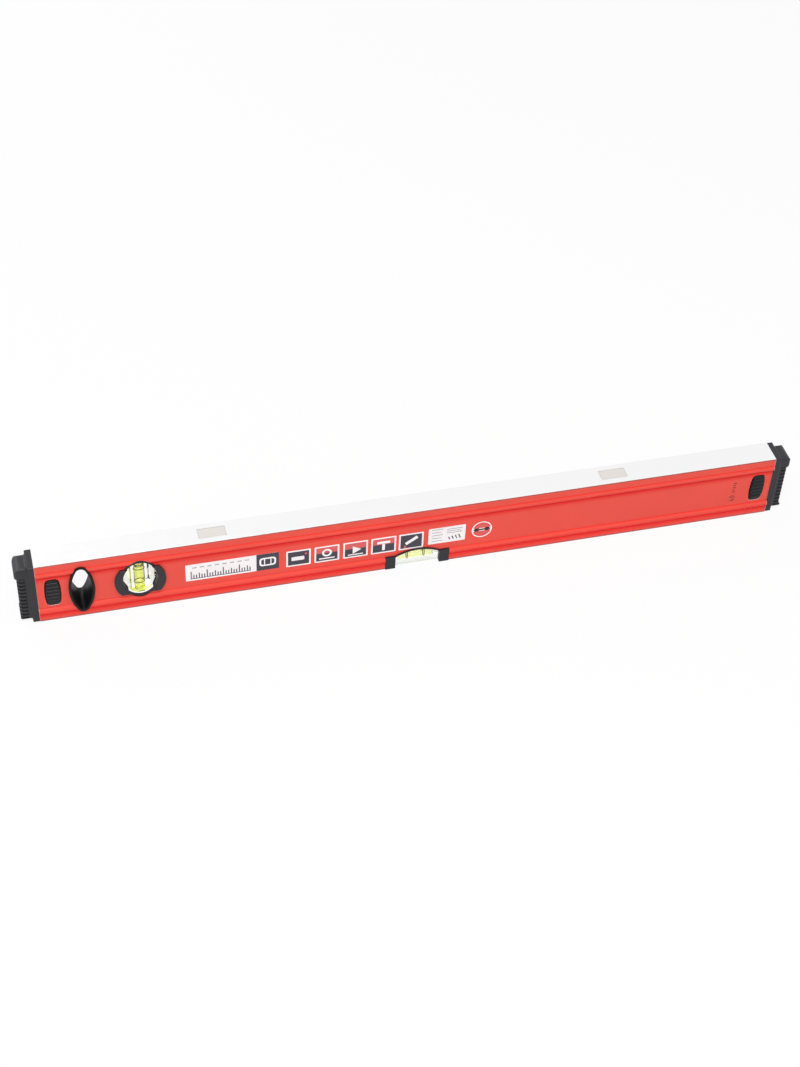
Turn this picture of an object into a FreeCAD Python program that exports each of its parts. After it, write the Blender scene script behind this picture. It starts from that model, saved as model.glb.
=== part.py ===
"""Magnetic spirit level with a 60 cm box section, standing on its upper edge with the magnet face up.

Millimetres. X runs along the level, the front face looks to -Y, and +Z is the milled magnet face.
The origin is the middle of the resting edge.
"""

import FreeCAD
import Part
import math
import os

V = FreeCAD.Vector

# Frame extrusion
frame_length = 571.0
section_height = 55.5
land_width = 21.0
side_wall = 1.8
milled_wall = 5.0
edge_wall = 3.0
corner_bevel = 0.6
crease_height = 6.8
crease_width = 0.6
crease_depth = 0.3
bead_width = 5.0
bead_rise = 0.8
web_recess = 0.7

# End caps
cap_reach = 14.5
cap_flange_thickness = 4.9
cap_flange_inset = 0.3
cap_flange_round = 1.2
cap_flange_nose_round = 0.8
bumper_inset_z = 2.1
bumper_inset_y = 1.9
bumper_nose_round = 5.5
bumper_side_round = 3.2
bumper_edge_round = 2.6
bumper_foot_round = 1.1
bumper_foot_length = 2.2
bumper_foot_sink = 0.1
cove_steps = 4
grip_depth = 1.1
grip_rib_sink = 0.4
grip_set_back = 1.6
grip_start = 2.3
grip_bottom = 4.2
grip_top = 44.0
grip_rib_count = 11
grip_rib_share = 0.48
plug_clearance = 0.15
plug_wall = 1.6
plug_web = 1.2

# Latch buttons in the end caps, and their springs
latch_from_end = 11.5
latch_width = 10.6
latch_height = 24.8
latch_side_bulge = 1.3
latch_corner_round = 2.9
latch_edge_proud = 0.1
latch_crown = 0.6
latch_rib_count = 6
latch_rib_pitch = 3.5
latch_rib_radius = 1.1
latch_rib_rise = 0.75
latch_rib_inset = 0.6
latch_lip = 1.0
latch_lip_thickness = 1.0
latch_running_gap = 0.2
latch_frame_gap = 0.4
latch_window_bevel = 0.35
latch_stop_gap = 0.1
spring_length = 20.0
spring_width = 5.0
spring_thickness = 0.3
spring_seat_gap = 0.05

# Hang hole and its liner
hang_from_end = 32.5
hang_half_width = 9.45
hang_top = 50.0
hang_bottom = 5.6
hang_top_round = 5.5
hang_bottom_round = 4.4
hang_lip_width = 0.8
hang_lip_thickness = 0.4
hang_wall_at_mouth = 1.0
hang_wall_at_middle = 1.4
hang_mouth_round = 0.5

# Plumb vial window
plumb_from_end = 75.2
plumb_ear_radius = 18.9
plumb_ear_half_height = 12.4
plumb_ear_thickness = 1.9
plumb_ear_round = 0.5
plumb_rim_proud = 0.2
plumb_rim_side_wall = 0.9
plumb_rim_end_wall = 3.1
plumb_mouth_half_width = 12.8
plumb_mouth_end_margin = 1.55
plumb_mouth_bevel = 0.5
plumb_block_half_depth = 9.0
plumb_block_flat_half_width = 6.5
plumb_block_edge_half_depth = 4.0
plumb_tongue_thickness = 2.0
plumb_tongue_rise = 1.4
reflector_thickness = 0.6
reflector_half_width = 9.0
reflector_set_back = 0.5

# Level vial at the resting edge
slot_side_height = 12.6
slot_arch_overhang = 0.4
slot_arch_top = 17.5
housing_proud = 0.5
housing_rim = 0.75
housing_lift = 0.4
housing_end_width = 7.9
level_vial_height = 6.8
level_block_end_wall = 0.2
level_block_lift = 1.0
level_block_half_depth = 8.6
level_block_bevel = 1.0

# Vials
vial_radius = 4.0
vial_end_radius = 3.9
level_vial_length = 26.8
plumb_vial_length = 25.0
plug_radius = 3.7
level_plug_length = 3.6
plumb_plug_length = 2.9
ring_spacing = 13.2
ring_width = 0.6
ring_thickness = 0.3
level_bubble_length = 11.0
level_bubble_radius = 2.4
level_bubble_depth = 2.8
level_bubble_round = 2.0
plumb_bubble_length = 4.2
plumb_bubble_round = 1.6

# Magnets in the milled face
magnet_from_centre = 155.0
magnet_length = 20.2
magnet_width = 9.7
magnet_thickness = 3.0
magnet_recess = 0.05

# Clearances
moulding_gap = 0.15
bond_gap = 0.05
fluid_gap = 0.02
bubble_gap = 0.1
plane_tolerance = 0.01
solve_tolerance = 1e-9
parallel_slack = 0.001
full_turn = 360.0

# Worked out from the sizes above
half_length = frame_length / 2
mid_height = section_height / 2
land_y = land_width / 2
crest_y = land_y + bead_rise
web_y = land_y - web_recess
web_inner_y = web_y - side_wall
bead_bottom = crease_height + crease_width / 2
bead_top = bead_bottom + bead_width
web_edge = bead_top + crease_width
plug_half_depth = web_inner_y - plug_clearance
plug_inner_y = plug_half_depth - plug_wall
latch_edge_y = web_y + latch_edge_proud
latch_crown_y = latch_edge_y + latch_crown
latch_lip_outer_y = plug_inner_y - latch_stop_gap
latch_lip_inner_y = latch_lip_outer_y - latch_lip_thickness
plug_length = latch_from_end + latch_width / 2 + latch_lip + plug_wall
latch_x = half_length - latch_from_end
hang_x = hang_from_end - half_length
plumb_x = plumb_from_end - half_length
plumb_vial_z = mid_height
plumb_mouth_z = plumb_vial_z + plumb_plug_length / 2
plumb_mouth_half_height = (plumb_vial_length + plumb_plug_length) / 2 + plumb_mouth_end_margin
rim_face_y = web_y + plumb_rim_proud
ear_face_y = web_y + plumb_ear_thickness
window_half_width = level_vial_length / 2 + level_plug_length + level_block_end_wall
slot_half_width = window_half_width + housing_end_width
slot_arch_half_width = window_half_width + slot_arch_overhang
housing_y = land_y + housing_proud
through_y = crest_y + housing_proud + hang_lip_thickness


def face_of(edges):
    """Plane face inside the given edges."""
    return Part.Face(Part.Wire(Part.__sortEdges__(edges)))


def line(a, b):
    return Part.LineSegment(a, b).toShape()


def arc(a, middle, b):
    return Part.Arc(a, middle, b).toShape()


def polygon(points):
    """Plane face with straight sides."""
    return Part.Face(Part.makePolygon(points + points[:1]))


def box(x_span, y_span, z_span):
    """Box between the low and high value of each axis."""
    low = V(x_span[0], y_span[0], z_span[0])
    return Part.makeBox(x_span[1] - x_span[0], y_span[1] - y_span[0], z_span[1] - z_span[0], low)


def front_prism(face, y_low, y_high):
    """Extrude a face drawn at y = 0 so that it fills y_low to y_high."""
    moved = face.copy()
    moved.translate(V(0, y_low, 0))
    return moved.extrude(V(0, y_high - y_low, 0))


def mirrored_y(shape):
    return shape.mirror(V(0, 0, 0), V(0, 1, 0))


def mirrored_x(shape):
    return shape.mirror(V(0, 0, 0), V(1, 0, 0))


def edges_along(shape, axis):
    """Straight edges of a shape that run along an axis."""
    found = []
    for edge in shape.Edges:
        if isinstance(edge.Curve, Part.Line) and abs(edge.tangentAt(edge.FirstParameter).dot(axis)) > 1 - parallel_slack:
            found.append(edge)
    return found


def circles_of(shape):
    return [edge for edge in shape.Edges if isinstance(edge.Curve, Part.Circle)]


def edges_at(shape, axis, value):
    """Edges that lie in the plane where an axis has the given value."""
    found = []
    for edge in shape.Edges:
        bounds = edge.BoundBox
        low, high = (bounds.XMin, bounds.XMax) if axis == "x" else (bounds.YMin, bounds.YMax)
        if abs(low - value) < plane_tolerance and abs(high - value) < plane_tolerance:
            found.append(edge)
    return found


def lies_on(edge, wire):
    """Whether the middle of an edge lies on a wire."""
    middle = edge.valueAt((edge.FirstParameter + edge.LastParameter) / 2)
    return wire.distToShape(Part.Vertex(middle))[0] < plane_tolerance


def mouth_wire(grow_x, grow_z, y):
    """Oval outline of the plumb window's mouth, grown sideways and upwards."""
    centre = V(plumb_x, y, plumb_mouth_z)
    tall = centre + V(0, 0, plumb_mouth_half_height + grow_z)
    wide = centre + V(plumb_mouth_half_width + grow_x, 0, 0)
    return Part.Wire([Part.Ellipse(tall, wide, centre).toShape()])


def mouth_prism(grow_x, grow_z, y_low, y_high):
    """Oval bar along Y through the plumb window."""
    return front_prism(Part.Face(mouth_wire(grow_x, grow_z, 0)), y_low, y_high)


def section_quarter():
    """Edges of the outer section from the resting face to mid height, on the rear side."""

    def p(y, z):
        return V(0, y, z)

    groove_low = crease_height - crease_width / 2
    bead_mid = (bead_bottom + bead_top) / 2
    groove_high = bead_top + crease_width / 2
    return [
        line(p(0, 0), p(land_y - corner_bevel, 0)),
        line(p(land_y - corner_bevel, 0), p(land_y, corner_bevel)),
        line(p(land_y, corner_bevel), p(land_y, groove_low)),
        line(p(land_y, groove_low), p(land_y - crease_depth, crease_height)),
        line(p(land_y - crease_depth, crease_height), p(land_y, bead_bottom)),
        arc(p(land_y, bead_bottom), p(crest_y, bead_mid), p(web_y, bead_top)),
        line(p(web_y, bead_top), p(web_y - crease_depth, groove_high)),
        line(p(web_y - crease_depth, groove_high), p(web_y, web_edge)),
        line(p(web_y, web_edge), p(web_y, mid_height)),
    ]


def section_envelope():
    """Full bar with the outside form of the extrusion."""
    quarter = Part.Compound(section_quarter())
    rear = Part.Compound([quarter, quarter.mirror(V(0, 0, mid_height), V(0, 0, 1))])
    outline = face_of(rear.Edges + mirrored_y(rear).Edges)
    outline.translate(V(-half_length, 0, 0))
    return outline.extrude(V(frame_length, 0, 0))


def section_cavity():
    """Bar that fills the inside of the extrusion."""
    side = [
        (land_y - side_wall, edge_wall),
        (land_y - side_wall, bead_bottom),
        (web_inner_y, bead_top),
        (web_inner_y, section_height - bead_top),
        (land_y - side_wall, section_height - bead_bottom),
        (land_y - side_wall, section_height - milled_wall),
    ]
    points = [V(-half_length, y, z) for y, z in side]
    points += [V(-half_length, -y, z) for y, z in reversed(side)]
    return polygon(points).extrude(V(frame_length, 0, 0))


def latch_prism(grow, y_low, y_high):
    """Latch outline with bulging sides, grown on all sides, at x = 0."""
    half_w = latch_width / 2 + grow
    half_h = latch_height / 2 + grow
    corner = half_w - latch_side_bulge

    def p(x, z):
        return V(x, 0, mid_height + z)

    outline = face_of(
        [
            arc(p(corner, -half_h), p(half_w, 0), p(corner, half_h)),
            line(p(corner, half_h), p(-corner, half_h)),
            arc(p(-corner, half_h), p(-half_w, 0), p(-corner, -half_h)),
            line(p(-corner, -half_h), p(corner, -half_h)),
        ]
    )
    prism = front_prism(outline, y_low, y_high)
    return prism.makeFillet(latch_corner_round + grow, edges_along(prism, V(0, 1, 0)))


def egg_wire(shrink, y):
    """Egg outline of the hang hole: top arc, bottom arc and two long side arcs, all tangent."""
    half_w = hang_half_width - shrink
    r_top = hang_top_round - shrink
    r_bottom = hang_bottom_round - shrink
    top_z = hang_top - hang_top_round
    bottom_z = hang_bottom + hang_bottom_round
    # Side radius whose arcs touch both end circles, by halving the interval
    low, high = half_w, section_height * frame_length
    while high - low > solve_tolerance:
        r_side = (low + high) / 2
        reach_top = math.sqrt((half_w - r_top) * (2 * r_side - r_top - half_w))
        reach_bottom = math.sqrt((half_w - r_bottom) * (2 * r_side - r_bottom - half_w))
        if reach_top + reach_bottom < top_z - bottom_z:
            low = r_side
        else:
            high = r_side
    side_x = r_side - half_w
    side_z = top_z - reach_top

    def touch(end_z, r_end, side):
        """Point where a side arc meets an end circle."""
        away = V(side_x, 0, end_z - side_z).normalize()
        spot = V(-side_x, 0, side_z) + away * r_side
        return V(hang_x + side * spot.x, y, spot.z)

    top_right, top_left = (touch(top_z, r_top, side) for side in (1, -1))
    low_right, low_left = (touch(bottom_z, r_bottom, side) for side in (1, -1))
    crown = V(hang_x, y, top_z + r_top)
    tip = V(hang_x, y, bottom_z - r_bottom)
    return Part.Wire(
        [
            arc(low_right, V(hang_x + half_w, y, side_z), top_right),
            arc(top_right, crown, top_left),
            arc(top_left, V(hang_x - half_w, y, side_z), low_left),
            arc(low_left, tip, low_right),
        ]
    )


def slot_face(shrink, bottom):
    """Outline of the level vial's slot: two square shoulders with an arch between."""
    half_w = slot_half_width - shrink
    shoulder = slot_side_height - shrink
    arch_half, arch_top = slot_arch_half_width, slot_arch_top - shrink

    def p(x, z):
        return V(x, 0, z)

    return face_of(
        [
            line(p(-half_w, bottom), p(-half_w, shoulder)),
            line(p(-half_w, shoulder), p(-arch_half, shoulder)),
            arc(p(-arch_half, shoulder), p(0, arch_top), p(arch_half, shoulder)),
            line(p(arch_half, shoulder), p(half_w, shoulder)),
            line(p(half_w, shoulder), p(half_w, bottom)),
            line(p(half_w, bottom), p(-half_w, bottom)),
        ]
    )


def window_face(shrink, bottom):
    """Outline under the arch, between the housing's end blocks."""
    half_w = window_half_width - shrink
    rise = slot_arch_top - slot_side_height
    arch_radius = (slot_arch_half_width**2 + rise**2) / (2 * rise)
    centre_z = slot_arch_top - arch_radius
    inner = arch_radius - housing_rim - moulding_gap - shrink
    side_z = centre_z + math.sqrt(inner**2 - half_w**2)

    def p(x, z):
        return V(x, 0, z)

    return face_of(
        [
            line(p(-half_w, bottom), p(-half_w, side_z)),
            arc(p(-half_w, side_z), p(0, centre_z + inner), p(half_w, side_z)),
            line(p(half_w, side_z), p(half_w, bottom)),
            line(p(half_w, bottom), p(-half_w, bottom)),
        ]
    )


def barrel(length, middle_radius, end_radius):
    """Barrel along X about the origin, as a vial is bored."""
    half = length / 2
    outline = face_of(
        [
            line(V(-half, 0, 0), V(-half, 0, end_radius)),
            arc(V(-half, 0, end_radius), V(0, 0, middle_radius), V(half, 0, end_radius)),
            line(V(half, 0, end_radius), V(half, 0, 0)),
            line(V(half, 0, 0), V(-half, 0, 0)),
        ]
    )
    return outline.revolve(V(0, 0, 0), V(1, 0, 0), full_turn)


def ring(offset):
    """Ring mark let into the wall of a bore along X."""
    start = V(offset - ring_width / 2, 0, 0)
    outer = Part.makeCylinder(vial_radius + ring_thickness, ring_width, start, V(1, 0, 0))
    inner = Part.makeCylinder(vial_radius, ring_width, start, V(1, 0, 0))
    return outer.cut(inner)


def placed_level(shape):
    """Move a vial part made about the origin to the level vial."""
    moved = shape.copy()
    moved.translate(V(0, 0, level_vial_height))
    return moved


def placed_plumb(shape):
    """Stand a vial part made about the origin up at the plumb vial."""
    moved = shape.copy()
    moved.rotate(V(0, 0, 0), V(0, 1, 0), -full_turn / 4)
    moved.translate(V(plumb_x, 0, plumb_vial_z))
    return moved


def vial_bore(length, plug_length):
    """Barrel, the plug's hole beyond its +X end and the grooves of the ring marks."""
    plug_start = V(length / 2, 0, 0)
    plug_hole = Part.makeCylinder(plug_radius + bond_gap, plug_length + bond_gap, plug_start, V(1, 0, 0))
    bore = barrel(length, vial_radius, vial_end_radius).fuse(plug_hole)
    for offset in (-ring_spacing / 2, ring_spacing / 2):
        start = V(offset - ring_width / 2, 0, 0)
        groove = Part.makeCylinder(vial_radius + ring_thickness, ring_width, start, V(1, 0, 0))
        bore = bore.fuse(groove)
    return bore


def vial_plug(length, plug_length):
    start = V(length / 2 + bond_gap, 0, 0)
    return Part.makeCylinder(plug_radius, plug_length - bond_gap, start, V(1, 0, 0))


def level_bubble(grow):
    """Long flat bubble under the top of the level vial's bore."""
    half = level_bubble_length / 2 + grow
    top = vial_end_radius - bubble_gap
    axis_z = top - level_bubble_depth + level_bubble_radius
    start = V(-half, 0, axis_z)
    drum = Part.makeCylinder(level_bubble_radius + grow, 2 * half, start, V(1, 0, 0))
    drum = drum.makeFillet(level_bubble_round, circles_of(drum))
    vial_start = V(-level_vial_length / 2, 0, 0)
    return drum.common(Part.makeCylinder(top + grow, level_vial_length, vial_start, V(1, 0, 0)))


def plumb_bubble(grow):
    """Short bubble that fills the bore at its upper end."""
    end = plumb_vial_length / 2 - bubble_gap + grow
    length = plumb_bubble_length + 2 * grow
    radius = vial_end_radius - bubble_gap + grow
    drum = Part.makeCylinder(radius, length, V(end - length, 0, 0), V(1, 0, 0))
    return drum.makeFillet(plumb_bubble_round, circles_of(drum))


def make_frame(envelope):
    """Red box section with its windows, slot and magnet pockets."""
    frame = envelope.cut(section_cavity())
    for side in (-1, 1):
        hole = latch_prism(latch_frame_gap, -web_y, web_y)
        hole.translate(V(side * latch_x, 0, 0))
        frame = frame.cut(hole)
        rims = [edge for y in (-web_y, web_y) for edge in edges_at(frame, "y", y) if lies_on(edge, hole)]
        frame = frame.makeChamfer(latch_window_bevel, rims)
    egg = Part.Face(egg_wire(hang_lip_width, 0))
    frame = frame.cut(front_prism(egg, -through_y, through_y))
    rim_side = plumb_rim_side_wall + moulding_gap
    rim_end = plumb_rim_end_wall + moulding_gap
    frame = frame.cut(mouth_prism(rim_side, rim_end, -through_y, through_y))
    frame = frame.cut(front_prism(slot_face(0, -edge_wall), -through_y, through_y))
    for side in (-1, 1):
        frame = frame.cut(magnet(side, moulding_gap, magnet_recess))
    return frame


def magnet(side, grow, raise_by):
    """Bar magnet in the milled face; grown sideways it is its pocket."""
    centre = side * magnet_from_centre
    half_l = magnet_length / 2 + grow
    half_w = magnet_width / 2 + grow
    top = section_height - magnet_recess
    bottom = top - magnet_thickness
    return box((centre - half_l, centre + half_l), (-half_w, half_w), (bottom, top + raise_by))


def beyond_flange(edges):
    """The edges further out than the right cap's flange."""
    return [edge for edge in edges if edge.CenterOfMass.x > half_length + cap_flange_thickness]


def bumper(inset, set_back):
    """Bumper beyond the right flange: three rounded profiles crossed, inset all round and set back."""
    x_foot = half_length
    x_nose = half_length + cap_reach - set_back
    half_y = land_y - bumper_inset_y - inset
    z_low = bumper_inset_z + inset
    z_high = section_height - bumper_inset_z - inset
    nose = bumper_nose_round - inset
    side = bumper_side_round - inset
    block = box((x_foot, x_nose), (-half_y, half_y), (z_low, z_high))
    edge = block.makeFillet(bumper_edge_round - inset, edges_along(block, V(1, 0, 0)))
    slab = box((x_foot, x_nose), (-land_y, land_y), (z_low, z_high))
    slab = slab.makeFillet(nose, beyond_flange(edges_along(slab, V(0, 1, 0))))
    wall = box((x_foot, x_nose), (-half_y, half_y), (0, section_height))
    wall = wall.makeFillet(side, beyond_flange(edges_along(wall, V(0, 0, 1))))
    return edge.common(slab).common(wall)


def bumper_foot(x_flange):
    """Hollow cove between flange and bumper, lofted through sections that shrink on a quarter ellipse."""
    sections = []
    for step in range(cove_steps + 1):
        turn = math.pi / 2 * step / cove_steps
        grow = bumper_foot_round * (1 - math.sin(turn)) - bumper_foot_sink
        x = x_flange + bumper_foot_length * (1 - math.cos(turn))
        half_y = land_y - bumper_inset_y + grow
        half_z = mid_height - bumper_inset_z + grow
        block = box((x, x + cap_reach), (-half_y, half_y), (mid_height - half_z, mid_height + half_z))
        block = block.makeFillet(bumper_edge_round + grow, edges_along(block, V(1, 0, 0)))
        end_face = min(block.Faces, key=lambda face: face.CenterOfMass.x)
        sections.append(end_face.OuterWire)
    return Part.makeLoft(sections, True, False)


def make_right_cap():
    """Cap moulding: plug inside the frame, flange, bumper and a ribbed grip band round the bumper."""
    x_flange = half_length + cap_flange_thickness
    flange = box(
        (half_length, x_flange),
        (-land_y, land_y),
        (cap_flange_inset, section_height - cap_flange_inset),
    )
    flange = flange.makeFillet(cap_flange_round, edges_along(flange, V(1, 0, 0)))
    flange = flange.makeFillet(cap_flange_nose_round, edges_at(flange, "x", x_flange))
    outer = bumper(0, 0)
    band = box(
        (x_flange + grip_start, half_length + cap_reach),
        (-land_y, land_y),
        (grip_bottom, grip_top),
    )
    core = bumper(grip_depth, grip_set_back + grip_depth).common(band)
    body = flange.fuse(bumper_foot(x_flange)).fuse(outer.cut(band)).fuse(core)
    pitch = (grip_top - grip_bottom) / grip_rib_count
    rib_stock = bumper(grip_rib_sink, grip_set_back)
    for index in range(grip_rib_count):
        low = grip_bottom + pitch * (index + (1 - grip_rib_share) / 2)
        slab = box(
            (x_flange + grip_start, half_length + cap_reach),
            (-land_y, land_y),
            (low, low + pitch * grip_rib_share),
        )
        body = body.fuse(rib_stock.common(slab))
    x_inner = half_length - plug_length
    z_low = edge_wall + plug_clearance
    z_high = section_height - milled_wall - plug_clearance
    plug = box((x_inner, half_length), (-plug_half_depth, plug_half_depth), (z_low, z_high))
    hollow = box(
        (x_inner, half_length),
        (-plug_inner_y, plug_inner_y),
        (z_low + plug_wall, z_high - plug_wall),
    )
    web = box((x_inner, half_length), (-plug_web / 2, plug_web / 2), (z_low, z_high))
    hole = latch_prism(latch_running_gap, -land_y, land_y)
    hole.translate(V(latch_x, 0, 0))
    plug = plug.cut(hollow).cut(hole).fuse(web)
    return body.fuse(plug).removeSplitter()


def make_front_latch():
    """Ribbed oval button at x = 0, with a crowned face and a lip that keeps it in the cap."""
    half_h = latch_height / 2
    crown_radius = (half_h**2 + latch_crown**2) / (2 * latch_crown)
    body = latch_prism(0, -land_y - latch_crown, -latch_lip_outer_y)
    crown = Part.makeCylinder(
        crown_radius,
        latch_width,
        V(-latch_width / 2, crown_radius - latch_crown_y, mid_height),
        V(1, 0, 0),
    )
    button = body.common(crown)
    inner = latch_prism(-latch_rib_inset, -land_y - latch_crown, -latch_lip_outer_y)
    for index in range(latch_rib_count):
        offset = (index - (latch_rib_count - 1) / 2) * latch_rib_pitch
        surface = math.sqrt(crown_radius**2 - offset**2) - (crown_radius - latch_crown_y)
        bar = Part.makeCylinder(
            latch_rib_radius,
            latch_width,
            V(-latch_width / 2, latch_rib_radius - latch_rib_rise - surface, mid_height + offset),
            V(1, 0, 0),
        )
        button = button.fuse(bar.common(inner))
    lip = latch_prism(latch_lip, -latch_lip_outer_y, -latch_lip_inner_y)
    return button.fuse(lip)


def make_front_spring():
    """Bow spring at x = 0: a curved strip that stands on the cap's middle web and bears on the lip."""
    seat_y = plug_web / 2 + spring_seat_gap
    crown_y = latch_lip_inner_y - spring_seat_gap
    rise = crown_y - spring_thickness - seat_y
    radius = ((spring_length / 2) ** 2 + rise**2) / (2 * rise)
    centre = V(-spring_width / 2, radius + spring_thickness - crown_y, mid_height)
    outer = Part.makeCylinder(radius + spring_thickness, spring_width, centre, V(1, 0, 0))
    inner = Part.makeCylinder(radius, spring_width, centre, V(1, 0, 0))
    strip = box((-spring_width / 2, spring_width / 2), (-crown_y, -seat_y), (0, section_height))
    return outer.cut(inner).common(strip)


def make_front_hang_sleeve(envelope):
    """Front half of the liner: conforming lip outside, drafted wall inside."""
    face_y = crest_y + hang_lip_thickness
    lip = front_prism(Part.Face(egg_wire(0, 0)), -face_y, -web_y).cut(envelope)
    tube = front_prism(Part.Face(egg_wire(hang_lip_width + moulding_gap, 0)), -face_y, 0)
    at_mouth = hang_lip_width + hang_wall_at_mouth
    at_middle = hang_lip_width + hang_wall_at_middle
    mouth = Part.makeLoft([egg_wire(at_mouth, -face_y), egg_wire(at_middle, 0)], True, True)
    sleeve = lip.fuse(tube).cut(mouth).removeSplitter()
    mouth_wire = egg_wire(at_mouth, -face_y)
    mouth_edges = [edge for edge in edges_at(sleeve, "y", -face_y) if lies_on(edge, mouth_wire)]
    return sleeve.makeFillet(hang_mouth_round, mouth_edges)


def make_front_bezel(envelope):
    """Front half of the plumb window: oval rim through the wall and two thick ears on the web."""
    tongue_y = plumb_tongue_thickness / 2 + bond_gap
    ears = Part.makeCylinder(
        plumb_ear_radius,
        plumb_ear_thickness,
        V(plumb_x, -ear_face_y, plumb_vial_z),
        V(0, 1, 0),
    )
    ears = ears.common(
        box(
            (plumb_x - plumb_ear_radius, plumb_x + plumb_ear_radius),
            (-ear_face_y, 0),
            (plumb_vial_z - plumb_ear_half_height, plumb_vial_z + plumb_ear_half_height),
        )
    )
    ears = ears.makeFillet(plumb_ear_round, edges_at(ears, "y", -ear_face_y))
    rim = mouth_prism(plumb_rim_side_wall, plumb_rim_end_wall, -rim_face_y, -tongue_y)
    mouth = mouth_prism(0, 0, -ear_face_y, 0)
    bevel = plumb_mouth_bevel
    funnel = Part.makeLoft(
        [mouth_wire(bevel, bevel, -ear_face_y), mouth_wire(0, 0, bevel - ear_face_y)], True, True
    )
    return ears.cut(envelope).fuse(rim).cut(mouth).cut(funnel)


def reflector_strip(grow):
    """Curved strip on the floor of the plumb window's mouth."""
    half_y = rim_face_y - reflector_set_back + grow
    half_x = reflector_half_width + grow
    outer = grow - bond_gap
    inner = -bond_gap - reflector_thickness - grow
    strip = mouth_prism(outer, outer, -half_y, half_y)
    strip = strip.cut(mouth_prism(inner, inner, -half_y, half_y))
    keep = box((plumb_x - half_x, plumb_x + half_x), (-half_y, half_y), (0, plumb_mouth_z))
    return strip.common(keep)


def make_plumb_block():
    """Faceted clear block with a tongue that the two bezels clamp."""
    half_w = plumb_mouth_half_width - bond_gap
    side = plumb_block_flat_half_width
    deep = plumb_block_half_depth
    thin = plumb_block_edge_half_depth
    plan = [
        V(-half_w, -thin, 0),
        V(-side, -deep, 0),
        V(side, -deep, 0),
        V(half_w, -thin, 0),
        V(half_w, thin, 0),
        V(side, deep, 0),
        V(-side, deep, 0),
        V(-half_w, thin, 0),
    ]
    prism = polygon(plan).extrude(V(0, 0, section_height))
    prism.translate(V(plumb_x, 0, 0))
    block = prism.common(mouth_prism(-bond_gap, -bond_gap, -deep, deep))
    tongue = mouth_prism(
        plumb_rim_side_wall - bond_gap,
        plumb_tongue_rise - bond_gap,
        -plumb_tongue_thickness / 2,
        plumb_tongue_thickness / 2,
    )
    block = block.fuse(tongue).cut(reflector_strip(bond_gap))
    below = box(
        (plumb_x - reflector_half_width, plumb_x + reflector_half_width),
        (-plumb_tongue_thickness, plumb_tongue_thickness),
        (0, plumb_mouth_z - plumb_mouth_half_height + bond_gap),
    )
    return block.cut(below).cut(placed_plumb(vial_bore(plumb_vial_length, plumb_plug_length)))


def make_housing():
    """Black moulding in the slot: two end blocks joined by the arch."""
    outer = front_prism(slot_face(moulding_gap, housing_lift), -housing_y, housing_y)
    return outer.cut(front_prism(window_face(0, -edge_wall), -through_y, through_y))


def make_level_block():
    """Clear block between the end blocks, with bevelled front and rear edges."""
    outline = window_face(bond_gap, level_block_lift)
    block = front_prism(outline, -level_block_half_depth, level_block_half_depth)
    block = block.makeChamfer(level_block_bevel, edges_along(block, V(0, 0, 1)))
    return block.cut(placed_level(vial_bore(level_vial_length, level_plug_length)))


def build():
    """Every piece by its name."""
    envelope = section_envelope()
    nodes = {"frame": make_frame(envelope)}

    right_cap = make_right_cap()
    nodes["end_cap_right"] = right_cap
    nodes["end_cap_left"] = mirrored_x(right_cap)

    for name, shape in (("latch_button", make_front_latch()), ("latch_spring", make_front_spring())):
        for x, side, opposite in ((latch_x, "right", "left"), (-latch_x, "left", "right")):
            front = shape.copy()
            front.translate(V(x, 0, 0))
            rear = front.copy()
            rear.rotate(V(0, 0, 0), V(0, 0, 1), full_turn / 2)
            nodes[name + "_front_" + side] = front
            nodes[name + "_rear_" + opposite] = rear

    sleeve = make_front_hang_sleeve(envelope)
    nodes["hang_sleeve_front"] = sleeve
    nodes["hang_sleeve_rear"] = mirrored_y(sleeve)

    bezel = make_front_bezel(envelope)
    nodes["plumb_bezel_front"] = bezel
    nodes["plumb_bezel_rear"] = mirrored_y(bezel)
    nodes["plumb_reflector"] = reflector_strip(0)
    nodes["plumb_vial_block"] = make_plumb_block()
    nodes["level_vial_housing"] = make_housing()
    nodes["level_vial_block"] = make_level_block()

    vials = (
        ("plumb", placed_plumb, plumb_vial_length, plumb_plug_length, plumb_bubble, ("lower", "upper")),
        ("level", placed_level, level_vial_length, level_plug_length, level_bubble, ("left", "right")),
    )
    for name, placed, length, plug_length, bubble, sides in vials:
        fluid = barrel(length - 2 * fluid_gap, vial_radius - fluid_gap, vial_end_radius - fluid_gap)
        nodes[name + "_vial_liquid"] = placed(fluid.cut(bubble(bond_gap)))
        nodes[name + "_bubble"] = placed(bubble(0))
        nodes[name + "_vial_plug"] = placed(vial_plug(length, plug_length))
        for side, offset in zip(sides, (-ring_spacing / 2, ring_spacing / 2)):
            nodes[name + "_ring_" + side] = placed(ring(offset))

    for name, side in (("magnet_left", -1), ("magnet_right", 1)):
        nodes[name] = magnet(side, 0, 0)
    return nodes


os.makedirs("parts", exist_ok=True)
for node_name, node_shape in build().items():
    node_shape.exportStep(os.path.join("parts", node_name + ".step"))
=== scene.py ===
"""Looks of the magnetic spirit level: finishes, printed fields, vial liquids, studio and camera.

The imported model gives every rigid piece. This script dresses those pieces, adds the print on the
front web and the clear fluid in the vials, and sets the light and the camera.
"""

from __future__ import annotations

import logging
import math
from dataclasses import dataclass
from enum import Enum
from typing import Any

import bpy
from mathutils import Matrix, Vector

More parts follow.
